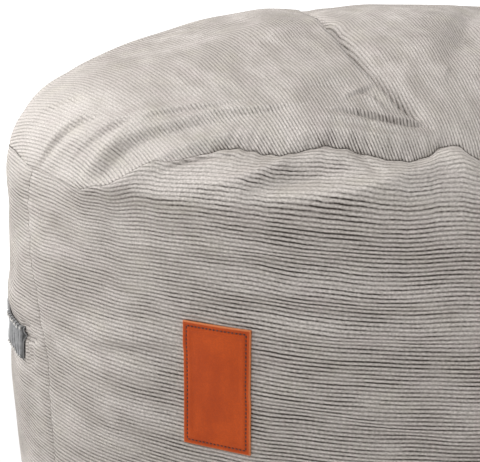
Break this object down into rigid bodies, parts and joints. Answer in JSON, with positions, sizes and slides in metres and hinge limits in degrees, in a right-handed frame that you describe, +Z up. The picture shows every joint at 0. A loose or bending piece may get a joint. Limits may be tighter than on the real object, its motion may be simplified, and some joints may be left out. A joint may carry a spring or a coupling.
{
  "type": "bean bag footstool",
  "caption": "Stout round bean bag footstool in corduroy, with a domed gathered crown, a stitched leather patch on the front and a webbing grab handle on one side.",
  "frame": {"origin": "middle of the flat base, on the floor that the footstool stands on", "axes": "+Z up along the round bag's axis; -Y is the front, and the patch is about 20 degrees to the left of it; the handle is on the left side, round -X"},
  "size_m": [0.6674, 0.6608, 0.508],
  "materials": {
    "corduroy": "brushed wide-wale corduroy, matt, with a soft nap",
    "patch_leather": "smooth tan-orange leather, satin",
    "handle_webbing": "ribbed webbing, matt"
  },
  "bodies": {
    "root": {"filled_bag": "corduroy", "label_patch": "patch_leather", "grab_handle": "handle_webbing"}
  },
  "joints": []
}
